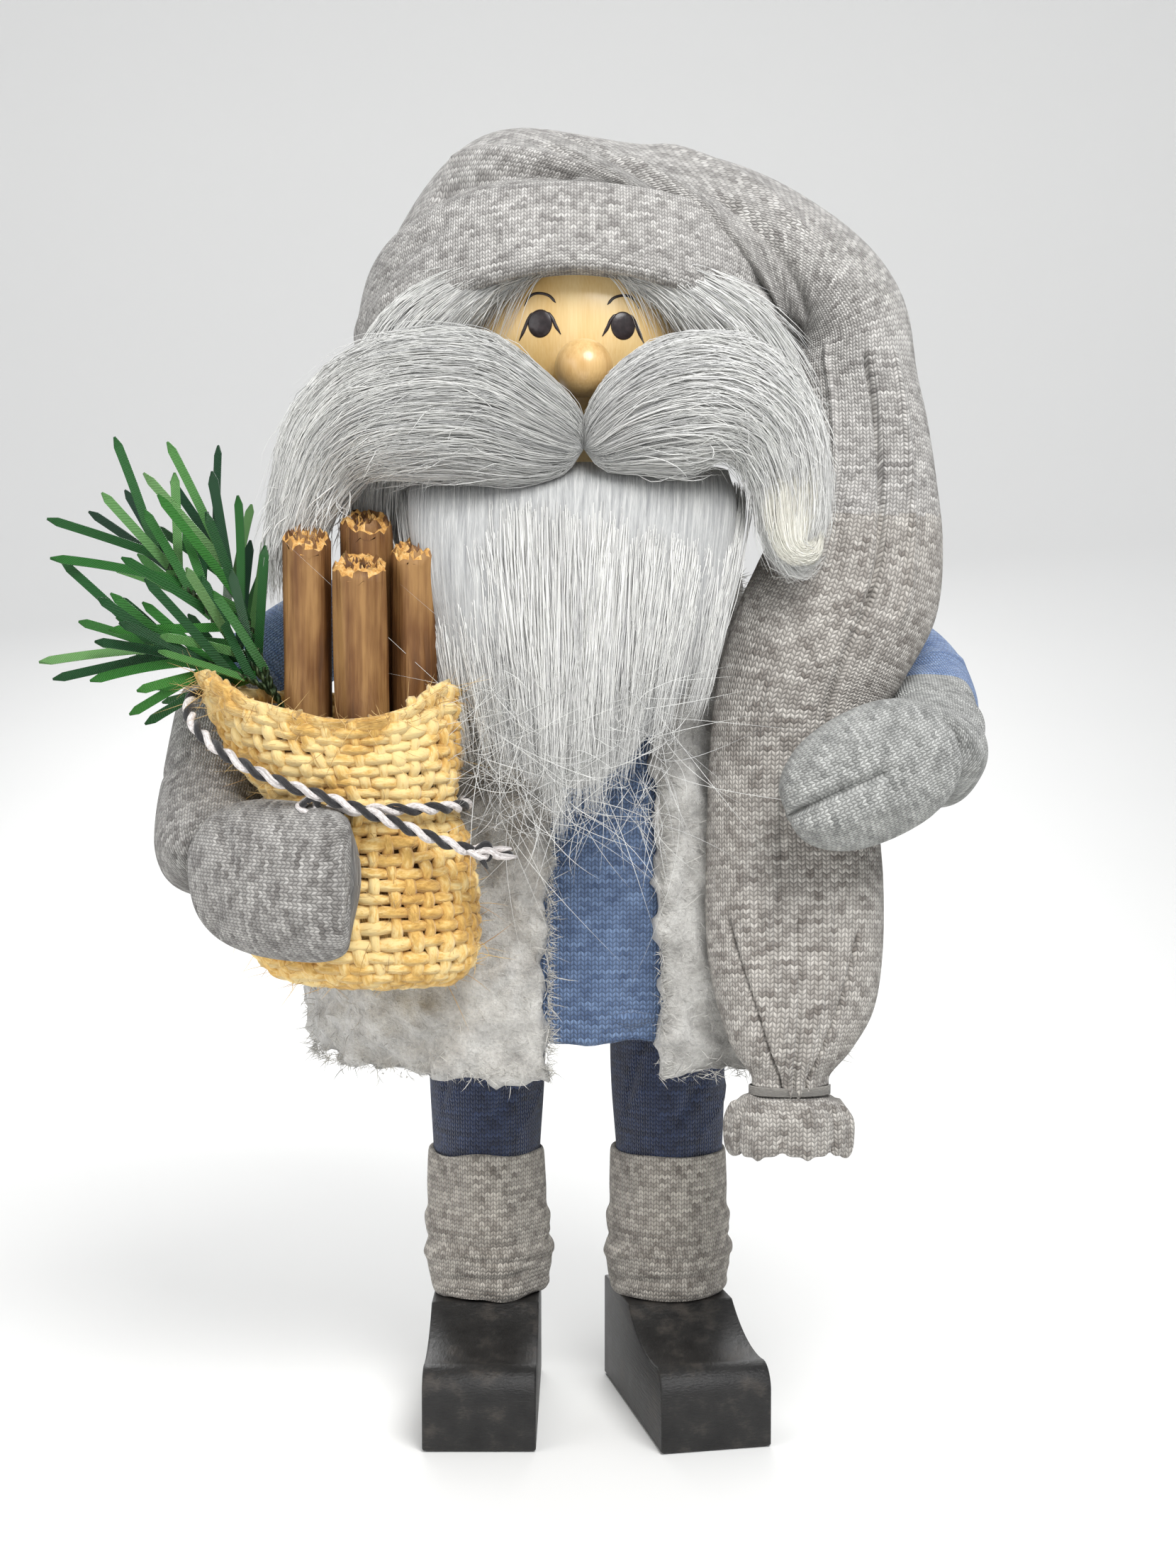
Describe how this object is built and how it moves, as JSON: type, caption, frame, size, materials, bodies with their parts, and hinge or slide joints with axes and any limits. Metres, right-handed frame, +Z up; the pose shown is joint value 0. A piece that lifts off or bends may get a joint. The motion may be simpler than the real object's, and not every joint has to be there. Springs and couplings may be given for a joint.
{
  "type": "tomte gnome figurine",
  "caption": "Standing knitted-and-wood gnome figurine with a long-tailed cap, full beard and a burlap sack of sticks and greenery in one mitten.",
  "frame": {"origin": "on the table, under the middle of the figure's whole width and depth", "axes": "+Z up along the standing figure, -Y the way it faces, +X to its left hand"},
  "size_m": [0.1983, 0.125, 0.2998],
  "materials": {
    "turned_wood": "sanded birch, clear matt varnish",
    "core_wood": "plain softwood, unfinished",
    "black_painted_wood": "satin black paint on turned and sawn wood",
    "polyester_stuffing": "loose polyester fibre filling",
    "navy_knit": "fine cotton jersey",
    "blue_knit": "cotton jersey",
    "light_blue_knit": "cotton jersey",
    "grey_fleece": "felted fleece with cut edges",
    "marl_hat_knit": "grey marl jersey",
    "marl_warmer_knit": "beige-grey marl jersey",
    "light_grey_knit": "light grey marl jersey",
    "dark_grey_knit": "grey marl jersey",
    "faux_fur": "long grey-white acrylic fibre",
    "burlap": "coarse golden jute weave",
    "two_tone_twine": "one white and one black strand twisted together",
    "brown_bark": "smooth brown bark, pale cut ends",
    "green_ribbon_needle": "embossed flat plastic needles",
    "tying_thread": "grey sewing thread",
    "steel_wire": "annealed wire"
  },
  "bodies": {
    "figure": {"right_shoe": "black_painted_wood", "left_shoe": "black_painted_wood", "right_leg_dowel": "core_wood", "left_leg_dowel": "core_wood", "right_trouser_leg": "navy_knit", "left_trouser_leg": "navy_knit", "right_leg_warmer": "marl_warmer_knit", "left_leg_warmer": "marl_warmer_knit", "torso_block": "core_wood", "torso_padding": "polyester_stuffing", "tunic": "blue_knit", "vest": "grey_fleece", "neck_dowel": "core_wood", "head_ball": "turned_wood", "nose_bead": "turned_wood", "moustache_right": "faux_fur", "moustache_left": "faux_fur", "beard": "faux_fur", "hair_right": "faux_fur", "hair_left": "faux_fur", "hat_crown": "marl_hat_knit", "hat_cuff": "marl_hat_knit", "hat_tail": "marl_hat_knit", "hat_tip_tie": "tying_thread", "hat_tip": "marl_hat_knit"},
    "left_arm": {"left_arm_wire": "steel_wire", "left_sleeve": "light_blue_knit", "left_cuff": "light_grey_knit", "left_mitten": "light_grey_knit"},
    "right_arm": {"right_arm_wire": "steel_wire", "right_sleeve": "light_blue_knit", "right_cuff": "dark_grey_knit", "right_mitten": "dark_grey_knit", "sack_pouch": "burlap", "sack_collar": "burlap", "stick_1": "brown_bark", "stick_2": "brown_bark", "stick_3": "brown_bark", "stick_4": "brown_bark", "sprig_stem": "steel_wire", "sprig_needles": "green_ribbon_needle", "twine_strap": "two_tone_twine", "twine_neck": "two_tone_twine"}
  },
  "joints": [
    {"name": "left_shoulder", "type": "hinge", "parent": "figure", "child": "left_arm", "pos_m": [0.066, 0.014, 0.184], "axis": [0, 0, 1], "range_deg": [0, 35]},
    {"name": "right_shoulder", "type": "hinge", "parent": "figure", "child": "right_arm", "pos_m": [-0.044, 0.014, 0.184], "axis": [0, 0, -1], "range_deg": [0, 25]}
  ]
}
